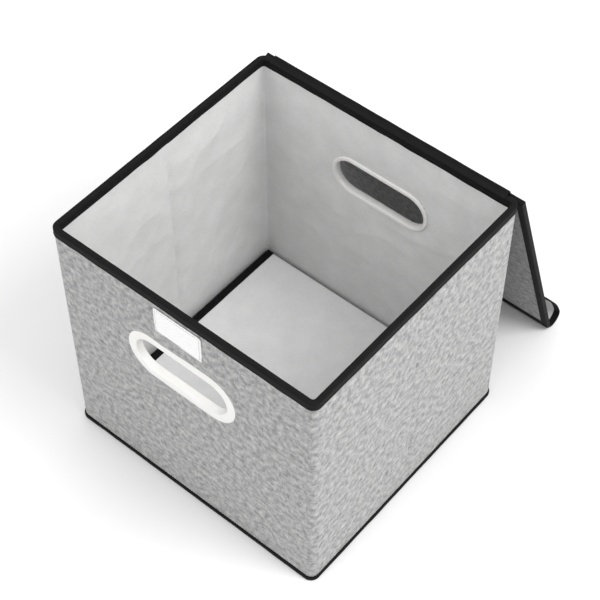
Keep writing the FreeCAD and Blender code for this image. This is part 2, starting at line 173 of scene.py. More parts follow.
def cloth(name, top, under, u, v, material, closed=False, hole=None):
    """A closed thin sheet between two grids of points; hole(x, z) is negative where it is cut."""
    columns, rows = top.shape[:2]
    ci, cj = quads(columns, rows, closed)
    ids = (ci % columns) * rows + cj
    uv = np.stack([u[ci], v[cj]], -1)
    points, lower = top.reshape(-1, 3), under.reshape(-1, 3)
    if hole:
        middle = points[ids].mean(1)
        keep = hole(middle) > 0
        ids, uv = ids[keep], uv[keep]
    count = len(points)
    start, end = ids.ravel(), np.roll(ids, -1, 1).ravel()
    border = ~np.isin(start * count + end, end * count + start)
    a, b = start[border], end[border]
    uv_a, uv_b = uv.reshape(-1, 2)[border], np.roll(uv, -1, 1).reshape(-1, 2)[border]
    rim = np.stack([b, a, a + count, b + count], 1)
    faces = np.concatenate([ids, ids[:, ::-1] + count, rim])
    uvs = np.concatenate([uv, uv[:, ::-1], np.stack([uv_b, uv_a, uv_a, uv_b], 1)])
    return piece(name, np.concatenate([points, lower]), faces, uvs, material)


def sweep(name, rings, u, material, closed=False, sharp=SHARP):
    """A tube through rings of points (step, section, 3); u is the length along it."""
    steps, size = rings.shape[:2]
    ci, cj = quads(steps, size, closed, True)
    ids = (ci % steps) * size + cj % size
    round_it = np.linalg.norm(np.roll(rings[0], -1, 0) - rings[0], axis=1)
    v = np.concatenate([[0], np.cumsum(round_it)])
    faces = ids.tolist()
    uvs = np.stack([u[ci], v[cj]], -1).reshape(-1, 2).tolist()
    if not closed:
        for ring, turn in ((0, -1), (steps - 1, 1)):
            faces.append([ring * size + k for k in range(size)][::turn])
            uvs += [(u[ring], v[k]) for k in range(size)][::turn]
    return piece(name, rings.reshape(-1, 3), faces, uvs, material, sharp)


def join(name, parts):
    """One object made of several of the same material."""
    bpy.ops.object.select_all(action="DESELECT")
    for part in parts:
        part.select_set(True)
    bpy.context.view_layer.objects.active = parts[0]
    bpy.ops.object.join()
    parts[0].select_set(False)
    parts[0].name = parts[0].data.name = name
    return parts[0]


def stitches(name, points, normals, material, pitch=3.4 * MM, long=2.5 * MM, radius=0.24 * MM):
    """Thread stitches sunk by half along a line of points, as little rounded bars."""
    steps = np.linalg.norm(np.diff(points, axis=0), axis=1)
    length = np.concatenate([[0], np.cumsum(steps)])
    at = np.arange(pitch / 2, length[-1] - pitch / 2, pitch)
    sides, shape = 6, [(-1, 0.35), (-0.75, 0.9), (0, 1), (0.75, 0.9), (1, 0.35)]
    angle = np.arange(sides) * math.tau / sides

    def along(distance):
        return np.stack([np.interp(distance, length, points[:, k]) for k in range(3)], -1)

    middle = along(at)
    ahead = along(at + long / 2) - along(at - long / 2)
    ahead /= np.linalg.norm(ahead, axis=1, keepdims=True)
    out = np.stack([np.interp(at, length, normals[:, k]) for k in range(3)], -1)
    side = np.cross(ahead, out)
    rings = []
    for step, wide in shape:
        centre = middle + ahead * (step * long / 2)
        spoke = out[:, None] * np.cos(angle)[None, :, None] + side[:, None] * np.sin(angle)[None, :, None]
        rings.append(centre[:, None] + spoke * radius * wide)
    rings = np.stack(rings, 1)
    size = len(shape) * sides
    i, j = quads(len(shape), sides, False, True)
    one = (i * sides + j % sides).tolist()
    ends = [list(range(sides))[::-1], list(range(size - sides, size))]
    faces = [[k * size + n for n in face] for k in range(len(at)) for face in one + ends]
    uvs = [(0.0, 0.0)] * sum(len(face) for face in faces)
    return piece(name, rings.reshape(-1, 3), faces, uvs, material, math.pi)


# Paths ----
def looped(line):
    """A line of points with its first point again at the end."""
    return np.concatenate([line, line[:1]])


def round_path(half_x, half_y, radius, step=4 * MM, arc_steps=8):
    """A rounded rectangle from the middle of the left wall: points, normals, length so far."""
    points, normals = [], []

    def run(start, end, normal):
        count = max(2, round(math.dist(start, end) / step))
        for t in np.arange(count) / count:
            points.append([start[0] + (end[0] - start[0]) * t, start[1] + (end[1] - start[1]) * t])
            normals.append(normal)

    last = (-half_x, 0)
    for k, (sx, sy) in enumerate([(-1, -1), (1, -1), (1, 1), (-1, 1)]):
        centre = (sx * (half_x - radius), sy * (half_y - radius))
        angle = math.pi + k * math.pi / 2
        outward = (math.cos(angle), math.sin(angle))
        run(last, (centre[0] + radius * outward[0], centre[1] + radius * outward[1]), outward)
        for t in np.arange(arc_steps) / arc_steps * math.pi / 2:
            normal = (math.cos(angle + t), math.sin(angle + t))
            points.append([centre[0] + radius * normal[0], centre[1] + radius * normal[1]])
            normals.append(normal)
        end = angle + math.pi / 2
        last = (centre[0] + radius * math.cos(end), centre[1] + radius * math.sin(end))
    run(last, (-half_x, 0), (-1, 0))
    points, normals = np.array(points), np.array(normals)
    steps = np.linalg.norm(np.roll(points, -1, 0) - points, axis=1)
    return points, normals, np.concatenate([[0], np.cumsum(steps)])


def stadium_path(length, height, centre_z, steps=20, straight=18):
    """A slot outline in XZ, anticlockwise seen from the front: points, normals, length."""
    radius, half = height / 2, (length - height) / 2
    points, normals = [], []
    for side in (1, -1):
        for angle in np.arange(steps) / steps * math.pi - math.pi / 2:
            normals.append((side * math.cos(angle), side * math.sin(angle)))
            points.append((side * half + radius * normals[-1][0], radius * normals[-1][1]))
        for t in np.arange(straight) / straight:
            normals.append((0, side))
            points.append((side * half * (1 - 2 * t), side * radius))
    points, normals = np.array(points) + (0, centre_z), np.array(normals)
    steps = np.linalg.norm(np.roll(points, -1, 0) - points, axis=1)
    return points, normals, np.concatenate([[0], np.cumsum(steps)])


def tape_section(half, reach, tape, corner):
    """A U of tape round an edge: offsets (outward, normal) of its inner and outer outline."""
    angle = np.linspace(0, math.pi / 2, 5)

    def side(lift):
        level, radius = half + lift, min(corner, half * 0.9) + lift
        bend = [(lift - radius + radius * math.sin(a), level - radius + radius * math.cos(a)) for a in angle]
        upper = [(-reach, level), (-reach * 0.6, level), *bend]
        return upper + [(x, -z) for x, z in upper[::-1]]

    inner, outer = side(0.02 * MM), side(tape)
    hem = [(-reach - 0.15 * tape, -half - tape * 0.5)]
    top_hem = [(-reach - 0.15 * tape, half + tape * 0.5)]
    return np.array(outer + hem + inner[::-1] + top_hem)


# Materials ----
def node(tree, kind, inputs=None, **settings):
    made = tree.nodes.new("ShaderNode" + kind)
    for key, value in settings.items():
        setattr(made, key, value)
    for key, value in (inputs or {}).items():
        if isinstance(value, bpy.types.NodeSocket):
            tree.links.new(value, made.inputs[key])
        else:
            made.inputs[key].default_value = value
    return made


def maths(tree, operation, a, b):
    return node(tree, "Math", {0: a, 1: b}, operation=operation).outputs[0]


def new_material(name, **sockets):
    material = bpy.data.materials.new(name)
    material.use_nodes = True
    tree = material.node_tree
    bsdf = tree.nodes["Principled BSDF"]
    for socket, value in sockets.items():
        bsdf.inputs[socket.replace("_", " ")].default_value = value
    return material, tree, bsdf


def weave_uv(tree):
    return node(tree, "UVMap", uv_map="weave").outputs["UV"]


def grain(tree, uv, size_u, size_v, detail=2.0, rough=0.5):
    """Noise with bumps size_u by size_v metres, about 0 to 1."""
    scaled = node(tree, "VectorMath", {0: uv, 1: (1 / size_u, 1 / size_v, 1)}, operation="MULTIPLY")
    inputs = {"Vector": scaled.outputs[0], "Scale": 1.0, "Detail": detail, "Roughness": rough}
    return node(tree, "TexNoise", inputs).outputs["Fac"]


def bands(tree, uv, direction, pitch):
    """Sine bands of one pitch in metres, across U or V."""
    inputs = {"Vector": uv, "Scale": math.tau / 20 / pitch, "Distortion": 0.0}
    return node(tree, "TexWave", inputs, bands_direction=direction).outputs["Fac"]


def ramp(tree, factor, stops):
    made = node(tree, "ValToRGB", {"Fac": factor})
    elements = made.color_ramp.elements
    while len(elements) < len(stops):
        elements.new(0.5)
    for element, (position, colour) in zip(elements, stops):
        element.position = position
        element.color = (*colour, 1)
    return made.outputs["Color"]


def grey(level, warm=0.0):
    return (level * (1 + warm), level, level * (1 - warm))


def bump(tree, bsdf, height, strength, distance):
    inputs = {"Height": height, "Strength": strength, "Distance": distance}
    tree.links.new(node(tree, "Bump", inputs).outputs["Normal"], bsdf.inputs["Normal"])


def rough(tree, bsdf, factor, low, high):
    inputs = {"Value": factor, "To Min": low, "To Max": high}
    tree.links.new(node(tree, "MapRange", inputs).outputs["Result"], bsdf.inputs["Roughness"])


def linen(name, dark, light, wear_and_floor_shade=True):
    """Heathered linen-look weave: slubby threads both ways over a fine plain weave."""
    material, tree, bsdf = new_material(
        name, Sheen_Weight=0.12, Sheen_Roughness=0.6, Specular_IOR_Level=0.25
    )
    uv = weave_uv(tree)
    warp = maths(tree, "ADD", grain(tree, uv, 1.0 * MM, 6 * MM), grain(tree, uv, 2.4 * MM, 8 * MM))
    weft = maths(tree, "ADD", grain(tree, uv, 6 * MM, 1.0 * MM), grain(tree, uv, 8 * MM, 2.4 * MM))
    threads = maths(tree, "MULTIPLY", maths(tree, "ADD", warp, weft), 0.25)
    blotch = grain(tree, uv, 7 * MM, 7 * MM, 3.0, 0.6)
    tone = maths(tree, "ADD", maths(tree, "MULTIPLY", threads, 0.52), maths(tree, "MULTIPLY", blotch, 0.48))
    colour = ramp(
        tree, tone, [(0.36, grey(dark)), (0.5, grey((dark + light) / 2, 0.004)), (0.64, grey(light, 0.008))]
    )
    # Painted shade: the cloth darkens in blotches over its bottom 3 cm, towards the floor.
    if wear_and_floor_shade:
        height = node(tree, "SeparateXYZ", {0: node(tree, "TexCoord").outputs["Object"]}).outputs["Z"]
        inputs = {"Value": height, "From Min": 0.0, "From Max": 0.03, "To Min": 0.25, "To Max": 0.0}
        near_floor = node(tree, "MapRange", inputs).outputs["Result"]
        painted_floor_shade = maths(tree, "MULTIPLY", near_floor, grain(tree, uv, 20 * MM, 20 * MM))
        shade = {"Factor": painted_floor_shade, "A": colour, "B": (0.12, 0.11, 0.10, 1)}
        colour = mix(tree, shade)
    tree.links.new(colour, bsdf.inputs["Base Color"])
    knit = maths(tree, "MULTIPLY", bands(tree, uv, "X", 0.9 * MM), bands(tree, uv, "Y", 0.9 * MM))
    height = maths(tree, "ADD", maths(tree, "MULTIPLY", knit, 0.5), threads)
    bump(tree, bsdf, height, 0.4, 0.35 * MM)
    rough(tree, bsdf, threads, 0.78, 0.98)
    return material


def mix(tree, sockets):
    made = node(tree, "Mix", data_type="RGBA")
    names = {"Factor": 0, "A": 6, "B": 7}
    for key, value in sockets.items():
        if isinstance(value, bpy.types.NodeSocket):
            tree.links.new(value, made.inputs[names[key]])
        else:
            made.inputs[names[key]].default_value = value
    return made.outputs[2]


def nonwoven(name, dark, light, warm=0.0, pitch=1.6 * MM):
    """Pressed felt-like cloth with a fine embossed dot grid and faint fibre streaks."""
    material, tree, bsdf = new_material(
        name, Sheen_Weight=0.08, Sheen_Roughness=0.5, Specular_IOR_Level=0.3
    )
    uv = weave_uv(tree)
    fibres = maths(tree, "ADD", grain(tree, uv, 0.8 * MM, 5 * MM, 3), grain(tree, uv, 6 * MM, 1.1 * MM, 3))
    cloud = grain(tree, uv, 28 * MM, 28 * MM, 3.0)
    dots = maths(tree, "MULTIPLY", bands(tree, uv, "X", pitch), bands(tree, uv, "Y", pitch))
    tone = maths(tree, "ADD", maths(tree, "MULTIPLY", fibres, 0.3), maths(tree, "MULTIPLY", cloud, 0.4))
    stops = [(0.38, grey(dark, warm)), (0.62, grey(light, warm))]
    tree.links.new(ramp(tree, tone, stops), bsdf.inputs["Base Color"])
    raised, sunk = maths(tree, "MULTIPLY", fibres, 0.35), maths(tree, "MULTIPLY", dots, 0.6)
    bump(tree, bsdf, maths(tree, "SUBTRACT", raised, sunk), 0.4, 0.25 * MM)
    rough(tree, bsdf, cloud, 0.72, 0.9)
    return material


def tape_material(name, dark, light):
    """Ribbed binding tape, a little worn and paler on the ribs."""
    material, tree, bsdf = new_material(
        name, Sheen_Weight=0.01, Sheen_Roughness=0.4, Specular_IOR_Level=0.12
    )
    uv = weave_uv(tree)
    ribs = bands(tree, uv, "X", 0.85 * MM)
    fuzz = grain(tree, uv, 0.5 * MM, 2.0 * MM, 3.0)
    wear_and_floor_shade = grain(tree, uv, 18 * MM, 5 * MM, 4.0, 0.65)
    tone = maths(tree, "ADD", maths(tree, "MULTIPLY", wear_and_floor_shade, 0.6), maths(tree, "MULTIPLY", ribs, 0.25))
    tone = maths(tree, "ADD", tone, maths(tree, "MULTIPLY", fuzz, 0.15))
    stops = [(0.3, grey(dark)), (0.72, grey(light, 0.01))]
    tree.links.new(ramp(tree, tone, stops), bsdf.inputs["Base Color"])
    height = maths(tree, "ADD", maths(tree, "MULTIPLY", ribs, 0.7), maths(tree, "MULTIPLY", fuzz, 0.4))
    bump(tree, bsdf, height, 0.5, 0.2 * MM)
    rough(tree, bsdf, wear_and_floor_shade, 0.6, 0.85)
    return material


def plastic(name, colour):
    """Glossy moulded plastic with a faint orange-peel skin and dulled scuffs."""
    material, tree, bsdf = new_material(name, IOR=1.49, Coat_Weight=0.15, Coat_Roughness=0.2)
    place = node(tree, "TexCoord").outputs["Object"]

    def skin(size, detail):
        inputs = {"Vector": place, "Scale": 1 / size, "Detail": detail}
        return node(tree, "TexNoise", inputs).outputs["Fac"]

    scuffs = skin(9 * MM, 6.0)
    yellowed = tuple(c * k for c, k in zip(colour, (0.97, 0.955, 0.92)))
    tree.links.new(ramp(tree, scuffs, [(0.35, colour), (0.7, yellowed)]), bsdf.inputs["Base Color"])
    bump(tree, bsdf, skin(2.5 * MM, 2.0), 0.12, 0.2 * MM)
    rough(tree, bsdf, scuffs, 0.22, 0.42)
    return material


def pile_material(name, dark, light, size):
    """The white face of hook or loop tape: tufts that shade at their roots."""
    material, tree, bsdf = new_material(
        name, Sheen_Weight=0.4, Sheen_Roughness=0.5, Specular_IOR_Level=0.2
    )
    uv = weave_uv(tree)
    scaled = node(tree, "VectorMath", {0: uv, 1: (1 / size, 1 / size, 1)}, operation="MULTIPLY").outputs[0]
    tufts = node(tree, "TexVoronoi", {"Vector": scaled, "Scale": 1.0}).outputs["Distance"]
    fuzz = grain(tree, uv, size / 2, size, 4.0)
    height = maths(tree, "SUBTRACT", maths(tree, "MULTIPLY", fuzz, 0.6), tufts)
    inputs = {"Value": height, "From Min": -0.5, "From Max": 0.3}
    tone = node(tree, "MapRange", inputs).outputs["Result"]
    stops = [(0.0, grey(dark)), (1.0, grey(light, 0.005))]
    tree.links.new(ramp(tree, tone, stops), bsdf.inputs["Base Color"])
    bump(tree, bsdf, height, 0.7, 0.5 * MM)
    rough(tree, bsdf, fuzz, 0.75, 0.95)
    return material


def board_material(name):
    """Grey-brown recycled board: fibre flecks and pressing streaks."""
    material, tree, bsdf = new_material(name, Specular_IOR_Level=0.2)
    place = node(tree, "TexCoord").outputs["Object"]

    def flecks(size, detail):
        inputs = {"Vector": place, "Scale": 1 / size, "Detail": detail}
        return node(tree, "TexNoise", inputs).outputs["Fac"]

    fine = flecks(1.5 * MM, 5.0)
    stops = [(0.3, (0.22, 0.16, 0.10)), (0.55, (0.36, 0.28, 0.19)), (0.75, (0.46, 0.37, 0.27))]
    tree.links.new(ramp(tree, fine, stops), bsdf.inputs["Base Color"])
    bump(tree, bsdf, fine, 0.4, 0.3 * MM)
    rough(tree, bsdf, flecks(20 * MM, 2.0), 0.8, 0.95)
    return material


def floor_material():
    material, tree, bsdf = new_material("floor", Specular_IOR_Level=0.2)
    place = node(tree, "TexCoord").outputs["Object"]
    patches = node(tree, "TexNoise", {"Vector": place, "Scale": 3.0, "Detail": 2.0}).outputs["Fac"]
    stops = [(0.3, grey(0.83)), (0.7, grey(0.86))]
    tree.links.new(ramp(tree, patches, stops), bsdf.inputs["Base Color"])
    rough(tree, bsdf, patches, 0.85, 0.95)
    return material


LINEN = linen("linen_outside", 0.13, 0.49)
# Painted shade: the lid's linen is a darker copy of the walls' linen, for the shade the hanging lid is in.
SHADED_LID_LINEN = linen("linen_lid", 0.10, 0.36, wear_and_floor_shade=False)
LINING = nonwoven("lining_felt", 0.60, 0.70, 0.004)
BASE_CLOTH = nonwoven("base_board_cloth", 0.74, 0.83, 0.0, 2.2 * MM)
BOTTOM_CLOTH = nonwoven("bottom_felt", 0.16, 0.24, 0.0, 2.0 * MM)
BINDING = tape_material("binding_tape", 0.002, 0.010)
THREAD = tape_material("binding_thread", 0.008, 0.022)
PALE_THREAD = tape_material("seam_thread", 0.30, 0.42)
WHITE_PLASTIC = plastic("white_plastic", (0.76, 0.76, 0.755))
LOOP_PILE = pile_material("loop_pile", 0.8, 0.93, 0.9 * MM)
HOOK_PILE = pile_material("hook_pile", 0.7, 0.88, 1.3 * MM)
BOARD = board_material("stiffener_board")


# Walls ----
SLOT_Z = (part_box("front_grommet")[0].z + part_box("front_grommet")[1].z) / 2
SLOT_LENGTH = 118 * MM
SLOT_HEIGHT = 44 * MM


def slot_hole(points):
    """Distance outside the slot cut in the front and back cloth, in metres."""
    straight = (SLOT_LENGTH - SLOT_HEIGHT) / 2
    beyond = np.maximum(np.abs(points[..., 0]) - straight, 0)
    away = np.hypot(beyond, points[..., 2] - SLOT_Z) - SLOT_HEIGHT / 2 - 3 * MM
    on_an_end = np.abs(points[..., 1]) > HALF_Y - 3 * CORNER
    return np.where(on_an_end, away, 1.0)


def wall_surface(path, heights, lift):
    """Points of a sleeve: the path moved outward by lift(columns, rows)."""
    points, normals = path[:2]
    flat = points[:, None] + normals[:, None] * lift[..., None]
    z = np.broadcast_to(heights, lift.shape)
    return np.concatenate([flat, z[..., None]], -1)


def wall_masks(path, heights):
    """Evenly 0 at the corners, top and bottom, 1 over each wall's middle."""
    points = path[0]
    on_side = np.abs(points[:, 0]) > HALF_X - CORNER
    across = np.where(on_side, np.abs(points[:, 1]) / HALF_Y, np.abs(points[:, 0]) / HALF_X)
    from_corner = smooth((0.93 - across) / 0.25)
    from_ends = smooth((heights - 8 * MM) / (45 * MM)) * smooth((WALL_TOP - 10 * MM - heights) / (40 * MM))
    return from_corner[:, None] * from_ends[None], on_side


def outer_sleeve():
    path = round_path(HALF_X, HALF_Y, CORNER)
    heights = np.linspace(0.9 * MM, WALL_TOP - 0.6 * MM, 80)
    u, v = path[2][:-1, None], heights[None]
    mask, on_side = wall_masks(path, heights)
    puff = 0.9 + 0.7 * noise(u, v, 70 * MM, 3) + 0.35 * noise(u, v, 26 * MM, 4)
    lift = np.maximum(puff, 0.1) * mask * MM
    lift += 0.12 * MM * (1 + noise(u, v, 11 * MM, 5)) * mask
    crease = ridge(path[0][:, 1], 5 * MM) * on_side
    lift -= (lift * 0.8 + 0.8 * MM * smooth(v / 0.05)) * crease[:, None]
    top = wall_surface(path, heights, lift)
    under = wall_surface(path, heights, lift - CLOTH)
    made = cloth("outer_sleeve", top, under, path[2], heights, LINEN, closed=True, hole=slot_hole)
    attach(made, "bin")
    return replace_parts(made, *(f"{side}_outer_fabric" for side in ("front", "back", "left", "right")))


def inner_lining():
    half_x, half_y = HALF_X - WALL, HALF_Y - WALL
    path = round_path(half_x, half_y, 2.5 * MM, arc_steps=5)
    heights = np.linspace(1.6 * MM, WALL_TOP - 0.6 * MM, 80)
    u, v = path[2][:-1, None], heights[None]
    mask, on_side = wall_masks(path, heights)
    puff = 0.8 + 0.8 * noise(u, v, 85 * MM, 13) + 0.5 * noise(u, v, 33 * MM, 14)
    drag = np.abs(noise(u + 0.6 * v, v, 42 * MM, 15))
    slack = np.maximum(puff, 0.05) + 0.9 * np.exp(-drag * 9)
    lift = slack * mask * MM + 0.08 * MM * (1 + noise(u, v, 9 * MM, 16)) * mask
    along = np.abs(path[0][:, 1])
    pinch = ridge(along, 4 * MM) * on_side
    tent = np.where(on_side, 1.8 * MM * smooth(along / (11 * MM)) * smooth((half_y - along) / (0.09)), 0)
    lift += tent[:, None] * smooth((v - 5 * MM) / 0.05) * smooth((WALL_TOP - 12 * MM - v) / 0.05)
    lift *= 1 - 0.97 * pinch[:, None]
    close = np.maximum(1 - slot_hole(wall_surface(path, heights, lift * 0)) / (16 * MM), 0)
    lift *= 1 - smooth(close)
    top = wall_surface(path, heights, -lift + CLOTH)
    under = wall_surface(path, heights, -lift)
    made = cloth("inner_lining", top, under, path[2], heights, LINING, closed=True, hole=slot_hole)
    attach(made, "bin")
    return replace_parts(made, *(f"{side}_lining" for side in ("front", "back", "left", "right")))


def rim():
    """The tape over the top edge of the four walls, with its two rows of stitches."""
    width = rim_high.x - (HALF_X - WALL) + 0.8 * MM
    path = round_path(rim_high.x, rim_high.y, CORNER + 0.8 * MM, step=5 * MM)
    tape, drop = 0.8 * MM, rim_high.z - rim_low.z
    turns = np.linspace(0, math.pi / 2, 5)
    bend = 1.5 * MM

    def outline(inset):
        radius = max(bend - inset, 0.5 * MM)
        centre = inset + radius
        outer_hem = [(-inset, -drop), (-inset, -drop * 0.6)]
        outer = [(radius * math.cos(a) - centre, radius * math.sin(a) - centre) for a in turns]
        crown = [(-width / 2, 0.12 * MM - inset)]
        inner = [(centre - width - radius * math.sin(a), radius * math.cos(a) - centre) for a in turns]
        inner_hem = [(inset - width, -drop * 0.6), (inset - width, -drop)]
        return [*outer_hem, *outer, *crown, *inner, *inner_hem]

    section = np.array(outline(0) + outline(tape)[::-1])
    u = path[2][:-1]
    wave = 0.28 * MM * noise(u, u * 0, 22 * MM, 21) + 0.12 * MM * noise(u, u * 0, 9 * MM, 22)
    points, normals = path[:2]
    level = rim_high.z - 0.12 * MM + np.minimum(wave, 0.1 * MM)[:, None] * 0.6 + section[None, :, 1]
    hem = (section[:, 1] < -drop * 0.8) * 1.0
    level = level + wave[:, None] * hem[None] * 1.4
    flat = points[:, None] + normals[:, None] * section[None, :, 0, None]
    rings = np.concatenate([flat, level[..., None]], -1)[:, ::-1]
    tape_piece = sweep("rim_tape", rings, path[2], BINDING, closed=True)
    threads = []
    for offset, facing in ((0.0, 1), (-width, -1)):
        line = points + normals * offset
        line = np.concatenate([line, (rim_low.z + 2.0 * MM + wave)[:, None]], 1)
        out = np.concatenate([normals * facing, np.zeros((len(normals), 1))], 1)
        threads.append(stitches("thread", looped(line), looped(out), THREAD))
    thread = join("rim_stitches", threads)
    for made in (tape_piece, thread):
        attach(made, "bin")
    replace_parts(tape_piece, "rim_binding")
    return tape_piece, thread


def bottom_piping():
    path = round_path(piping_high.x, piping_high.y, CORNER + 1.6 * MM, step=5 * MM)
    deep, tall = piping_high.x - HALF_X, piping_high.z + 1.5 * MM
    angle = np.linspace(-math.pi / 2, math.pi / 2, 9)
    bulge = [(-deep + deep * math.cos(a) ** 0.6, tall / 2 + tall / 2 * math.sin(a)) for a in angle[1:-1]]
    section = np.array([(-deep - 0.3 * MM, 0.05 * MM), *bulge, (-deep - 0.3 * MM, tall - 0.05 * MM)])
    u = path[2][:-1]
    wave = 0.2 * MM * noise(u, u * 0, 19 * MM, 31)
    points, normals = path[:2]
    shift = section[None, :, 0] + wave[:, None] * (section[:, 0] > -deep)[None]
    z = section[None, :, 1] + wave[:, None] * (section[:, 1] > tall * 0.6)[None]
    flat = points[:, None] + normals[:, None] * shift[..., None]
    rings = np.concatenate([flat, z[..., None]], -1)
    made = sweep("bottom_piping_tape", rings, path[2], BINDING, closed=True)
    line = np.column_stack([points - normals * (deep - 0.1 * MM), np.full(len(points), tall + 0.5 * MM)])
    out = np.column_stack([normals, np.zeros(len(points))])
    thread = stitches("bottom_stitches", looped(line), looped(out), THREAD)
    for part in (made, thread):
        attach(part, "bin")
    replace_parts(made, "bottom_piping")
    return made, thread


def rounded_grid(half_x, half_y, radius, columns, rows):
    """A grid of (x, y) over a rounded rectangle, closer together near its edges."""
    spread = np.sin(np.linspace(-1, 1, columns) * math.pi / 2 * 0.86) / math.sin(math.pi / 2 * 0.86)
    lines = np.sin(np.linspace(-1, 1, rows) * math.pi / 2 * 0.86) / math.sin(math.pi / 2 * 0.86) * half_y
    past = np.clip(np.abs(lines) - (half_y - radius), 0, radius)
    wide = half_x - radius + np.sqrt(np.maximum(radius**2 - past**2, 0))
    return spread[:, None] * wide[None], np.broadcast_to(lines, (columns, rows))


def bottom_cloth():
    low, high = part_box("bottom_cloth")
    x, y = rounded_grid(high.x, high.y, CORNER - CLOTH, 60, 60)
    ripple = 0.15 * MM * (1 + noise(x, y, 30 * MM, 41))
    top = np.stack([x, y, np.full_like(x, high.z)], -1)
    under = np.stack([x, y, low.z + ripple], -1)
    u, v = x[:, 30], y[30]
    made = cloth("bottom_panel", top, under, u, v, BOTTOM_CLOTH)
    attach(made, "bin")
    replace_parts(made, "bottom_cloth")
    return made


def grommet_piece(name, node_name, section, side):
    """A rounded section swept round the hand slot; section is (outward from hole, out of wall)."""
    path = stadium_path(SLOT_LENGTH, SLOT_HEIGHT, SLOT_Z)
    points, normals = path[:2]
    flat = points[:, None] + normals[:, None] * section[None, :, 0, None]
    depth = np.broadcast_to(-HALF_Y - section[None, :, 1], flat.shape[:2])
    rings = np.stack([flat[..., 0], depth, flat[..., 1]], -1)
    if side == "back":
        rings = rings * (-1, -1, 1)
    made = sweep(name, rings, path[2], WHITE_PLASTIC, closed=True, sharp=math.radians(60))
    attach(made, "bin")
    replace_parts(made, node_name)


def grommets():
    """In each slot a flange and barrel in one moulding, and the ring that snaps on inside."""
    flange, ring_width, thick, barrel = 11 * MM, 4.5 * MM, 2.2 * MM, 1.2 * MM
    end, gap = -WALL - thick, 0.02 * MM
    lip, edge, ring_edge, ring_bore = 1.6 * MM, 1.8 * MM, 1.2 * MM, barrel + 0.1 * MM
    arc = np.linspace(0, math.pi / 2, 6)
    outer = [(lip - lip * math.cos(a), thick - lip + lip * math.sin(a)) for a in arc]
    outer += [(4.5 * MM, thick + 0.25 * MM), (7.5 * MM, thick - 0.05 * MM)]
    outer += [(flange - edge + edge * math.sin(a), thick - 1.9 * MM + 1.5 * MM * math.cos(a)) for a in arc]
    outer += [(flange, gap), (barrel, gap), (barrel, end + 0.4 * MM)]
    outer += [(0.8 * MM, end), (0.4 * MM, end), (0, end + 0.4 * MM)]
    ring = [(ring_bore, end + 0.1 * MM), (1.9 * MM, end - 0.1 * MM), (2.6 * MM, end - 0.1 * MM)]
    ring += [(ring_width - ring_edge * (1 - math.sin(a)), end + ring_edge * (1 - math.cos(a))) for a in arc]
    ring += [(ring_width, -WALL - gap), (ring_bore, -WALL - gap)]
    for side in ("front", "back"):
        grommet_piece(f"{side}_grip_flange", f"{side}_grommet", np.array(outer)[::-1], side)
        grommet_piece(f"{side}_grip_ring", f"{side}_grommet_ring", np.array(ring), side)


def patch(name, node_name, place, size, thick, body, material, seed):
    """A rounded patch of pile tape with a stitched border; place(x, y, lift) gives row points."""
    half_x, half_y = size[0] / 2, size[1] / 2
    seam, corner = 2.2 * MM, 3 * MM
    columns, rows = round(size[0] / MM) + 1, round(size[1] / MM) + 1
    x, y = rounded_grid(half_x, half_y, corner, columns, rows)
    inside = np.minimum(half_x - np.abs(x), half_y - np.abs(y))
    body_lift = thick * (0.45 + 0.55 * smooth(inside / (1.6 * MM)))
    sunk = 0.4 * MM * ridge(inside - seam, 1.4 * MM)
    tufts = 0.22 * MM * noise(x, y, 1.7 * MM, seed) * smooth((inside - 3 * MM) / MM)
    top = place(x, y, body_lift - sunk + tufts)
    under = place(x, y, np.full_like(x, 0.02 * MM))
    made = cloth(name, top, under, x[:, rows // 2], y[columns // 2], material)
    border = looped(round_path(half_x - seam, half_y - seam, 2 * MM, step=2 * MM, arc_steps=3)[0])
    level = np.full(len(border), thick - 0.3 * MM)
    line = place(border[:, 0], border[:, 1], level)
    out = place(border[:, 0], border[:, 1], level + MM) - line
    out /= np.linalg.norm(out, axis=1, keepdims=True)
    thread = stitches(name + "_stitches", line, out, PALE_THREAD, 2.8 * MM, 2.0 * MM, 0.2 * MM)
    for part in (made, thread):
        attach(part, body)
    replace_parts(made, node_name)
    under = "outer_sleeve" if body == "bin" else "flap_inside"


outer = outer_sleeve()
lining = inner_lining()
rim_parts = rim()
piping_parts = bottom_piping()
floor_cloth = bottom_cloth()
grommets()

loop_low, loop_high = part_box("closure_loop_patch")
loop_size = (loop_high.x - loop_low.x, loop_high.z - loop_low.z)
loop_middle = (loop_low.z + loop_high.z) / 2
patch(
    "loop_patch",
    "closure_loop_patch",
    lambda x, y, lift: np.stack([x, loop_high.y - 0.7 * MM - lift, y + loop_middle], -1),
    loop_size,
    loop_high.y - loop_low.y,
    "bin",
    LOOP_PILE,
    51,
)


# Base board ----
def edge_tape(name, edge, outward, normal, half, reach, tape, u, corner=0.3 * MM):
    """Binding tape in a U round an edge; half is the thickness it wraps, at each step."""
    halves = np.broadcast_to(half, len(edge))
    sections = np.stack([tape_section(h, reach, tape, corner) for h in halves])
    along, across = sections[..., 0, None], sections[..., 1, None]
    rings = edge[:, None] + outward[:, None] * along + normal[:, None] * across
    return sweep(name, rings, u, BINDING)


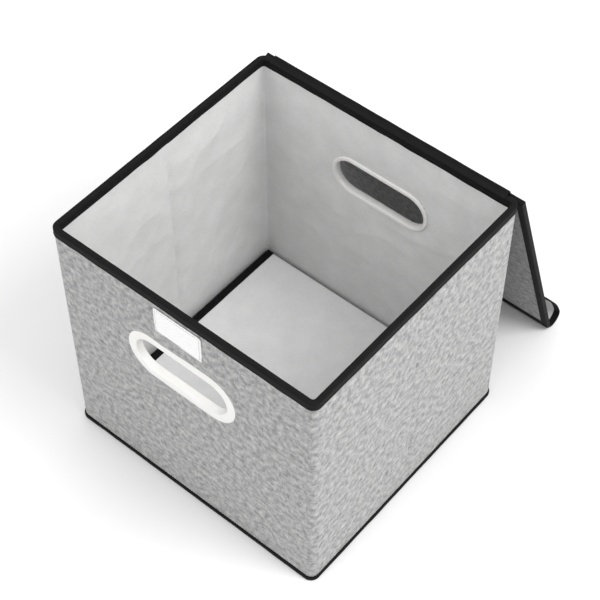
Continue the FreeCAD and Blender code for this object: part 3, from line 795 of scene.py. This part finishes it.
def base_board():
    low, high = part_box("base_board_sleeve")
    middle, half = (low.z + high.z) / 2, (high.z - low.z) / 2
    x, y = rounded_grid(high.x, high.y, 4 * MM, 96, 92)
    inside = np.minimum(high.x - np.abs(x), high.y - np.abs(y))
    round_off = np.sqrt(np.clip(1 - (1 - np.clip(inside / (4 * MM), 0, 1)) ** 2, 0.02, 1))
    puff = 0.35 * MM * (1 + noise(x, y, 60 * MM, 61)) * smooth(inside / 0.05)
    puff = puff + 0.12 * MM * noise(x, y, 16 * MM, 62) * smooth(inside / 0.03)
    top = np.stack([x, y, middle + half * round_off + puff], -1)
    under = np.stack([x, y, middle - half * round_off], -1)
    made = cloth("base_board_cover", top, under, x[:, 46], y[48], BASE_CLOTH)
    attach(made, "base_board")
    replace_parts(made, "base_board_sleeve", "base_board_core")
    for side, name in ((-1, "left"), (1, "right")):
        along = np.linspace(-high.y + 1 * MM, high.y - 1 * MM, 70)
        wave = 0.25 * MM * noise(along, along * 0, 24 * MM, 63 + side)
        edge = np.stack([side * (high.x + wave * 0.5), along * side, np.full_like(along, middle)], -1)
        outward = np.tile([side, 0, 0], (len(along), 1))
        upward = np.tile([0, 0, 1], (len(along), 1))
        tape_name, thick, reach, corner = f"base_edge_tape_{name}", 0.6 * MM, 10 * MM, 3 * MM
        tape = edge_tape(tape_name, edge, outward, upward, half, reach, thick, along, corner)
        line = edge - outward * 8.4 * MM + upward * (half + 0.62 * MM)
        thread = stitches(f"base_stitches_{name}", line, upward, THREAD)
        for part in (tape, thread):
            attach(part, "base_board")
        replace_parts(tape, f"base_binding_{name}")


base_board()


# Lid and flap ----
def fold_profile():
    """Steps of s past the lid's free end, and the cloth's lid-frame Y, Z and turn at each."""
    s = np.linspace(-5 * MM, FLAP_END + 5 * MM, 400)
    turn = np.clip(s / FOLD_RADIUS, 0, FOLD_ANGLE)
    turn += FOLD_CURL * np.maximum((s - FOLD_CLOTH) / FLAP_LENGTH, 0) ** 1.5
    middle, step = turn[:-1] / 2 + turn[1:] / 2, np.diff(s)
    y = np.concatenate([[0], np.cumsum(np.cos(middle) * step)])
    z = np.concatenate([[0], np.cumsum(np.sin(middle) * step)])
    return s, y + LID_LENGTH - np.interp(0, s, y), z, turn


FOLD_S, FOLD_Y, FOLD_Z, FOLD_TURN = fold_profile()


def fold_surface(s):
    """Lid-frame (Y, Z) and normal of the middle of the cloth, s past the lid's free end."""
    turn = np.interp(s, FOLD_S, FOLD_TURN)
    return np.interp(s, FOLD_S, FOLD_Y), np.interp(s, FOLD_S, FOLD_Z), -np.sin(turn), np.cos(turn)


def flap_point(x, s, offset):
    """Row point on the fold or flap, offset to the lining side; the free edge waves a little."""
    y, z, normal_y, normal_z = fold_surface(s)
    free = smooth((s - FOLD_CLOTH) / FLAP_LENGTH)
    offset = offset + free * (1.2 * noise(x, s * 0, 90 * MM, 71) + 0.5 * noise(x, s, 35 * MM, 72)) * MM
    return row_of_lid(x, y + normal_y * offset, z + normal_z * offset)


def flap_half(s):
    """Half the flap's width at s, with its rounded free corners."""
    past = np.clip(s - (FLAP_END - FLAP_CORNER), 0, FLAP_CORNER)
    return HALF_X - FLAP_CORNER + np.sqrt(np.maximum(FLAP_CORNER**2 - past**2, 0))


def blend_flap(made):
    """Bake a piece's transform into its mesh; the ends of a bend are worked out, but no bend is made."""
    level = 19 * MM
    start = row_of_lid(0.0, LID_LENGTH - 0.9 * MM, LID_FACE)
    end = row_of_lid(0.0, LID_LENGTH - 7.2 * MM, level)
    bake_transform(made)


def flap_border():
    """The flap's bound edge from side to side: x, s and the way out of the flap at each point."""
    fold = np.linspace(-0.5 * MM, FOLD_CLOTH, 20)
    side = np.concatenate([fold, np.linspace(FOLD_CLOTH, FLAP_END - FLAP_CORNER, 10)[1:]])
    turn = np.linspace(0, math.pi / 2, 9)[1:]
    free = np.linspace(HALF_X - FLAP_CORNER, 0, 30)[1:]
    corner_x = HALF_X - FLAP_CORNER + FLAP_CORNER * np.cos(turn)
    corner_s = FLAP_END - FLAP_CORNER + FLAP_CORNER * np.sin(turn)
    x = np.concatenate([np.full(len(side), HALF_X), corner_x, free])
    s = np.concatenate([side, corner_s, np.full(len(free), FLAP_END)])
    out_x = np.concatenate([np.ones(len(side)), np.cos(turn), np.zeros(len(free))])
    out_s = np.concatenate([np.zeros(len(side)), np.sin(turn), np.ones(len(free))])

    def both_halves(values, sign):
        return np.concatenate([values, sign * values[-2::-1]])

    return both_halves(x, -1), both_halves(s, 1), both_halves(out_x, -1), both_halves(out_s, 1)


def board_end(s):
    """Extra half thickness where the cloth runs off the lid's board."""
    return BOARD_HALF * (1 - smooth(s / (7 * MM)))


def flap_tape():
    """The tape round the flap's edge, and a row of stitches on each face of it."""
    x, s, out_x, out_s = flap_border()
    thick, reach, step = 0.5 * MM, 7 * MM, 0.5 * MM
    edge = flap_point(x, s, 0.0)
    outward = edge - flap_point(x - out_x * step, s - out_s * step, 0.0)
    outward /= np.linalg.norm(outward, axis=1, keepdims=True)
    normal = flap_point(x, s, 1 * MM) - edge
    normal /= np.linalg.norm(normal, axis=1, keepdims=True)
    half = SQUEEZED * CLOTH + board_end(s)
    along = np.concatenate([[0], np.cumsum(np.linalg.norm(np.diff(edge, axis=0), axis=1))])
    tape = edge_tape("flap_edge_tape", edge, outward, normal, half, reach, thick, along)
    blend_flap(tape)
    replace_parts(tape, "flap_binding")
    threads = []
    for way in (1, -1):
        line = edge - outward * 5.2 * MM + normal * (way * (half + thick))[:, None]
        threads.append(stitches("thread", line, normal * way, THREAD))
    thread = join("flap_stitches", threads)
    blend_flap(thread)
    return [tape, thread]


def flap():
    fold, straight = np.linspace(0, FOLD_CLOTH, 22), np.linspace(FOLD_CLOTH, FLAP_END, 34)[1:]
    past = np.concatenate([fold, straight - 0.05 * MM])
    spread = np.linspace(-1, 1, 90)
    x = spread[:, None] * flap_half(past)[None]
    s = np.broadcast_to(past, x.shape)
    inside = np.minimum(flap_half(past)[None] - np.abs(x), FLAP_END - s)
    layer = CLOTH * (SQUEEZED + (1 - SQUEEZED) * smooth((inside - 6 * MM) / (3 * MM)))
    near, u, v = board_end(s), spread * HALF_X, past
    top, under = flap_point(x, s, -near), flap_point(x, s, -near - layer)
    outer_cloth = cloth("flap_outside", top, under, u, v, SHADED_LID_LINEN)
    blend_flap(outer_cloth)
    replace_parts(outer_cloth, "flap_outer_fabric", "flap_crease_cloth")
    top, under = flap_point(x, s, near + layer), flap_point(x, s, near + 0.02 * MM)
    inner_cloth = cloth("flap_inside", top, under, u, v, LINING)
    blend_flap(inner_cloth)
    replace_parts(inner_cloth, "flap_lining")
    trim, size = flap_tape(), (2 * HALF_X, FLAP_END)


def lid_cloths():
    """The cloth on the two faces of the lid's board, slack over its middle."""
    rows = np.linspace(LID_START + 0.1 * MM, LID_LENGTH, 82)
    spread = np.linspace(-HALF_X + 0.1 * MM, HALF_X - 0.1 * MM, 84)
    x, y = np.broadcast_arrays(spread[:, None], rows[None])
    inside = np.minimum(HALF_X - np.abs(x), np.minimum(y - LID_START, LID_LENGTH - y))
    mask = smooth((inside - 10 * MM) / (45 * MM))
    sheets = []
    for name, side, material, slot, seed, cad in (
        ("lid_outside", -1, SHADED_LID_LINEN, "outer_fabric", 81, "lid_outer_fabric"),
        ("lid_inside", 1, LINING, "lining", 85, "lid_lining"),
    ):
        bulge = 1.0 + 0.8 * noise(x, y, 75 * MM, seed) + 0.4 * noise(x, y, 30 * MM, seed + 1)
        pucker = 0.07 * MM * (1 + noise(x, y, 10 * MM, seed + 2))
        near = BOARD_HALF + (np.maximum(bulge, 0.05) * MM + pucker) * mask
        far = near + CLOTH
        lower, upper = (-far, -near) if side < 0 else (near, far)
        made = cloth(name, row_of_lid(x, y, upper), row_of_lid(x, y, lower), spread, rows, material)
        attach(made, "lid")
        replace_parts(made, cad)
        sheets.append(made)
    return sheets


def lid_border():
    """The lid's bound edge, up the left side, across the hinged edge and down the right side.

    Gives row points and the way out of the lid at each. At the two corners the way out is
    longer than 1, so that the tape is mitred.
    """
    steps, from_corner = 80, 12 * MM
    down = np.linspace(LID_START + from_corner, LID_LENGTH, steps)
    across = np.linspace(-HALF_X + from_corner, HALF_X - from_corner, steps)
    corner, ahead = [LID_START], row_of_lid(0.0, 1.0, 0.0) - row_of_lid(0.0, 0.0, 0.0)
    x = np.concatenate([np.full(steps + 1, -HALF_X), across, np.full(steps + 1, HALF_X)])
    y = np.concatenate([down[::-1], corner, np.full(steps, LID_START), corner, down])
    out_x = np.concatenate([np.full(steps + 1, -1.0), np.zeros(steps), np.full(steps + 1, 1.0)])
    out_y = np.concatenate([np.zeros(steps), np.full(steps + 2, -1.0), np.zeros(steps)])
    outward = out_x[:, None] * np.array([1.0, 0, 0]) + out_y[:, None] * ahead
    return row_of_lid(x, y, 0.0), outward


def lid_tapes(upward):
    """The tape round three edges of the lid and along the flap's fold, with their stitches."""
    thick, reach = 0.6 * MM, 7 * MM
    edge, outward = lid_border()
    normal = np.tile(upward, (len(edge), 1))
    along = np.concatenate([[0], np.cumsum(np.linalg.norm(np.diff(edge, axis=0), axis=1))])
    tape = edge_tape("lid_edge_tape", edge, outward, normal, LID_FACE, reach, thick, along)
    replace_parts(tape, "lid_binding_left", "lid_binding_right")
    threads = []
    for way in (1, -1):
        line = edge - outward * 5.6 * MM + normal * way * (LID_FACE + thick)
        threads.append(stitches("thread", line, normal * way, THREAD))
    thread = join("lid_stitches", threads)
    # Painted shade: the black tape along the fold darkens the lid's foot, where it stands in shade on the
    # floor; it is also sewn on as a binding strip.
    spread = np.linspace(-HALF_X + 0.1 * MM, HALF_X - 0.1 * MM, 84)
    rows = np.linspace(LID_LENGTH - 10 * MM, LID_LENGTH, 7)
    x, y = np.broadcast_arrays(spread[:, None], rows[None])
    face = -LID_FACE - thick
    over, below = row_of_lid(x, y, 0.1 * MM - LID_FACE), row_of_lid(x, y, face)
    fold_shade_tape = cloth("lid_fold_tape", over, below, spread, rows, BINDING)
    across = np.linspace(-HALF_X + 12 * MM, HALF_X - 12 * MM, 80)
    line = row_of_lid(across, LID_LENGTH - 8.2 * MM, face)
    fold_thread = stitches("lid_fold_stitches", line, np.tile(-upward, (len(across), 1)), THREAD)
    parts = [tape, thread, fold_shade_tape, fold_thread]
    for part in parts:
        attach(part, "lid")
    return parts


def lid_seam(upward):
    """A pale row of stitches across the lining, beside the flap's fold."""
    across = np.linspace(-HALF_X + 12 * MM, HALF_X - 12 * MM, 80)
    line = row_of_lid(across, LID_LENGTH - 4.5 * MM, LID_FACE)
    seam = stitches("lid_seam", line, np.tile(upward, (len(across), 1)), PALE_THREAD)
    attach(seam, "lid")
    return seam


def lid():
    upward = row_of_lid(0.0, 0.0, 1.0) - row_of_lid(0.0, 0.0, 0.0)
    outside, inside = lid_cloths()
    tapes, seam = lid_tapes(upward), lid_seam(upward)


def hinge_cloth():
    """The strip from the rim's top, round the hinge line, into the lid's edge."""
    low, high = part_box("lid_hinge_cloth")
    half_thick = 0.5 * MM
    top = rim_high.z + half_thick
    foot = row_of_lid(0.0, LID_START - 0.5 * MM, 0.0)
    knots = np.array(
        [
            (low.y, top),
            (HALF_Y - 2 * MM, top),
            (HALF_Y + 0.6 * MM, top + 0.6 * MM),
            (hinge[1] - 0.4 * MM, hinge[2] - 0.6 * MM),
            (hinge[1] + 1.0 * MM, hinge[2] - 1.4 * MM),
            (foot[1] - (foot[1] - hinge[1]) * 0.35, foot[2] + 3 * MM),
            (foot[1], foot[2]),
        ]
    )
    t = np.linspace(0, len(knots) - 1, 30)
    line = np.stack([np.interp(t, np.arange(len(knots)), knots[:, k]) for k in (0, 1)], -1)
    for _ in range(6):
        line[1:-1] = (line[:-2] + line[1:-1] * 2 + line[2:]) / 4
    ahead = np.gradient(line, axis=0)
    ahead /= np.linalg.norm(ahead, axis=1, keepdims=True)
    normal = np.stack([-ahead[:, 1], ahead[:, 0]], -1)
    x = np.linspace(low.x, high.x, 50)
    along = np.concatenate([[0], np.cumsum(np.linalg.norm(np.diff(line, axis=0), axis=1))])
    ripple = 0.15 * MM * noise(x[:, None], along[None], 14 * MM, 95) * smooth(along / (5 * MM))[None]

    def layer(offset):
        yz = line[None] + normal[None] * (offset + ripple)[..., None]
        return np.concatenate([np.broadcast_to(x[:, None, None], (*yz.shape[:2], 1)), yz], -1)

    made = cloth("hinge_strip", layer(half_thick), layer(-half_thick), x, along, BINDING)
    seam = np.stack([x, np.full_like(x, low.y + 2.5 * MM), np.full_like(x, top + half_thick)], -1)
    thread = stitches("hinge_stitches", seam, np.tile([0.0, 0, 1], (len(x), 1)), THREAD)
    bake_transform(made)
    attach(thread, "bin")
    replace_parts(made, "lid_hinge_cloth")


lid()
flap()
hinge_cloth()

hook_low, hook_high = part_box("closure_hook_patch")
hook_size = (hook_high.x - hook_low.x, 26 * MM)
patch(
    "hook_patch",
    "closure_hook_patch",
    lambda x, y, lift: flap_point(x, FOLD_CLOTH + 20 * MM + y, CLOTH + lift),
    hook_size,
    1.2 * MM,
    "lid_flap",
    HOOK_PILE,
    52,
)

side_boards = [f"{side}_board_{end}" for side in ("left", "right") for end in ("front", "rear")]
for name in ["front_board", "back_board", *side_boards, "lid_board"]:
    board = frame["nodes"][name]
    board.data.materials.clear()
    board.data.materials.append(BOARD)


# Floor and light ----
def add_floor():
    reach, count = 25.0, 9
    line = np.linspace(-reach, reach, count)
    x, y = np.meshgrid(line, line, indexing="ij")
    points = np.stack([x, y, np.full_like(x, -0.05 * MM)], -1).reshape(-1, 3)
    ci, cj = quads(count, count)
    made = piece("floor", points, ci * count + cj, np.stack([line[ci], line[cj]], -1), floor_material())


def add_light(name, place, target, size, power):
    data = bpy.data.lights.new(name, "AREA")
    data.shape = "DISK"
    data.size = size
    data.energy = power
    light = bpy.data.objects.new(name, data)
    light.location = place
    light.rotation_euler = (Vector(target) - Vector(place)).to_track_quat("-Z", "Y").to_euler()
    bpy.context.scene.collection.objects.link(light)


def add_world():
    world = bpy.data.worlds.new("studio")
    bpy.context.scene.world = world
    world.use_nodes = True
    background = world.node_tree.nodes["Background"]
    background.inputs["Color"].default_value = (1, 1, 1, 1)
    background.inputs["Strength"].default_value = 1.0


add_floor()
add_world()
add_light("key", (1.8, 0.4, 2.5), (0, 0, 0.15), 1.6, 52)
add_light("fill", (-1.0, -2.0, 2.2), (0, 0, 0.1), 2.0, 14)
bpy.context.scene.view_settings.view_transform = "Standard"
